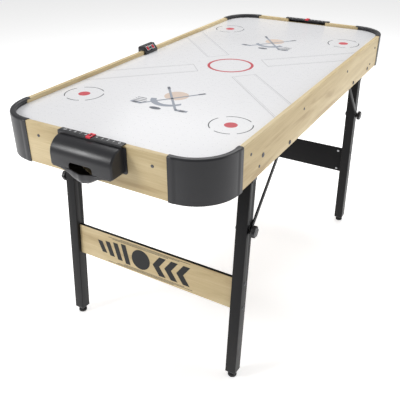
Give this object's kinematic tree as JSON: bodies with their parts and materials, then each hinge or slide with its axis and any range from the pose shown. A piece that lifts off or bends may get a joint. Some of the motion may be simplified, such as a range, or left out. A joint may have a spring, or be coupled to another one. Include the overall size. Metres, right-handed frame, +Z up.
{
  "type": "air hockey table",
  "caption": "Folding-leg air hockey table with rounded corner caps, goal boxes, sliding and electronic scorers and a blower under the playing surface.",
  "frame": {"origin": "on the floor under the middle of the playing field", "axes": "+X along the table to the far end, +Y to its left long side, which carries the electronic scorer, +Z up"},
  "size_m": [1.6374, 0.7366, 0.8768],
  "materials": {
    "wood": "satin maple foil on fibreboard",
    "plastic": "satin charcoal moulding",
    "surface": "smooth white laminate",
    "board": "plain fibreboard",
    "legs": "black powder coat",
    "steel": "zinc plated",
    "rubber": "matt black",
    "red": "satin red",
    "lens": "smoked window",
    "button": "satin grey"
  },
  "bodies": {
    "cabinet": {"side_rail_left": "wood", "side_rail_right": "wood", "end_rail_near": "wood", "end_rail_far": "wood", "corner_cap_near_left": "plastic", "corner_cap_near_right": "plastic", "corner_cap_far_left": "plastic", "corner_cap_far_right": "plastic", "goal_box_near": "plastic", "goal_box_far": "plastic", "score_strip_near": "plastic", "score_strip_far": "plastic", "scorer_housing": "plastic", "blower_housing": "plastic", "power_box": "plastic", "playing_surface": "surface", "base_board": "board", "hinge_bracket_near_left": "legs", "hinge_bracket_near_right": "legs", "hinge_bracket_far_left": "legs", "hinge_bracket_far_right": "legs", "blower_motor": "steel", "pivot_rod_near": "steel", "pivot_rod_far": "steel", "brace_bolt_near_left": "steel", "brace_bolt_near_right": "steel", "brace_bolt_far_left": "steel", "brace_bolt_far_right": "steel", "scorer_lens": "lens"},
    "near_leg_frame": {"leg_near_left": "legs", "leg_near_right": "legs", "crossbar_near": "wood", "foot_plug_near_left": "plastic", "foot_plug_near_right": "plastic", "knob_bolt_near_left": "steel", "knob_bolt_near_right": "steel"},
    "near_left_brace": {"brace_near_left": "legs"},
    "near_left_foot": {"levelling_foot_near_left": "rubber"},
    "near_left_lock_knob": {"lock_knob_near_left": "plastic"},
    "near_right_brace": {"brace_near_right": "legs"},
    "near_right_foot": {"levelling_foot_near_right": "rubber"},
    "near_right_lock_knob": {"lock_knob_near_right": "plastic"},
    "near_slider": {"score_slider_near": "red"},
    "far_leg_frame": {"leg_far_left": "legs", "leg_far_right": "legs", "crossbar_far": "wood", "foot_plug_far_left": "plastic", "foot_plug_far_right": "plastic", "knob_bolt_far_left": "steel", "knob_bolt_far_right": "steel"},
    "far_left_brace": {"brace_far_left": "legs"},
    "far_left_foot": {"levelling_foot_far_left": "rubber"},
    "far_left_lock_knob": {"lock_knob_far_left": "plastic"},
    "far_right_brace": {"brace_far_right": "legs"},
    "far_right_foot": {"levelling_foot_far_right": "rubber"},
    "far_right_lock_knob": {"lock_knob_far_right": "plastic"},
    "far_slider": {"score_slider_far": "red"},
    "reset_key": {"reset_button": "button"},
    "impeller": {"blower_impeller": "button"},
    "rocker": {"power_switch": "red"}
  },
  "joints": [
    {"name": "near_legs_fold", "type": "hinge", "parent": "cabinet", "child": "near_leg_frame", "pos_m": [-0.5022, 0, 0.717], "axis": [0, -1, 0], "range_deg": [0, 94]},
    {"name": "near_left_brace_swing", "type": "hinge", "parent": "cabinet", "child": "near_left_brace", "pos_m": [-0.3135, 0.3405, 0.7517], "axis": [0, -1, 0], "range_deg": [0, 134]},
    {"name": "near_left_foot_level", "type": "slide", "parent": "near_leg_frame", "child": "near_left_foot", "axis": [-0.0781, 0, -0.9969], "range_m": [0, 0.012]},
    {"name": "near_left_knob_turn", "type": "hinge", "parent": "near_leg_frame", "child": "near_left_lock_knob", "pos_m": [-0.51528, 0.35, 0.55001], "axis": [0, 1, 0], "continuous": true},
    {"name": "near_right_brace_swing", "type": "hinge", "parent": "cabinet", "child": "near_right_brace", "pos_m": [-0.3135, -0.3405, 0.7517], "axis": [0, -1, 0], "range_deg": [0, 134]},
    {"name": "near_right_foot_level", "type": "slide", "parent": "near_leg_frame", "child": "near_right_foot", "axis": [-0.0781, 0, -0.9969], "range_m": [0, 0.012]},
    {"name": "near_right_knob_turn", "type": "hinge", "parent": "near_leg_frame", "child": "near_right_lock_knob", "pos_m": [-0.51528, -0.35, 0.55001], "axis": [0, -1, 0], "continuous": true},
    {"name": "near_score_slide", "type": "slide", "parent": "cabinet", "child": "near_slider", "axis": [0, 1, 0], "range_m": [-0.09, 0.09]},
    {"name": "far_legs_fold", "type": "hinge", "parent": "cabinet", "child": "far_leg_frame", "pos_m": [0.5022, 0, 0.717], "axis": [0, 1, 0], "range_deg": [0, 84]},
    {"name": "far_left_brace_swing", "type": "hinge", "parent": "cabinet", "child": "far_left_brace", "pos_m": [0.3135, 0.3405, 0.7517], "axis": [0, 1, 0], "range_deg": [0, 134]},
    {"name": "far_left_foot_level", "type": "slide", "parent": "far_leg_frame", "child": "far_left_foot", "axis": [0.0781, 0, -0.9969], "range_m": [0, 0.012]},
    {"name": "far_left_knob_turn", "type": "hinge", "parent": "far_leg_frame", "child": "far_left_lock_knob", "pos_m": [0.51528, 0.35, 0.55001], "axis": [0, 1, 0], "continuous": true},
    {"name": "far_right_brace_swing", "type": "hinge", "parent": "cabinet", "child": "far_right_brace", "pos_m": [0.3135, -0.3405, 0.7517], "axis": [0, 1, 0], "range_deg": [0, 134]},
    {"name": "far_right_foot_level", "type": "slide", "parent": "far_leg_frame", "child": "far_right_foot", "axis": [0.0781, 0, -0.9969], "range_m": [0, 0.012]},
    {"name": "far_right_knob_turn", "type": "hinge", "parent": "far_leg_frame", "child": "far_right_lock_knob", "pos_m": [0.51528, -0.35, 0.55001], "axis": [0, -1, 0], "continuous": true},
    {"name": "far_score_slide", "type": "slide", "parent": "cabinet", "child": "far_slider", "axis": [0, 1, 0], "range_m": [-0.09, 0.09]},
    {"name": "reset_press", "type": "slide", "parent": "cabinet", "child": "reset_key", "axis": [0, 0, -1], "range_m": [0, 0.001], "stiffness_N_per_m": 400, "springref_m": -0.001},
    {"name": "impeller_spin", "type": "hinge", "parent": "cabinet", "child": "impeller", "pos_m": [0, 0, 0.745], "axis": [0, 0, 1], "continuous": true},
    {"name": "power_rock", "type": "hinge", "parent": "cabinet", "child": "rocker", "pos_m": [0.016, -0.2, 0.7437], "axis": [0, 1, 0], "range_deg": [-8, 8]}
  ],
  "couplings": [
    {"joint": "near_left_brace_swing", "follows": "near_legs_fold", "ratio": 1.41},
    {"joint": "near_right_brace_swing", "follows": "near_legs_fold", "ratio": 1.41},
    {"joint": "far_left_brace_swing", "follows": "far_legs_fold", "ratio": 1.41},
    {"joint": "far_right_brace_swing", "follows": "far_legs_fold", "ratio": 1.41}
  ]
}
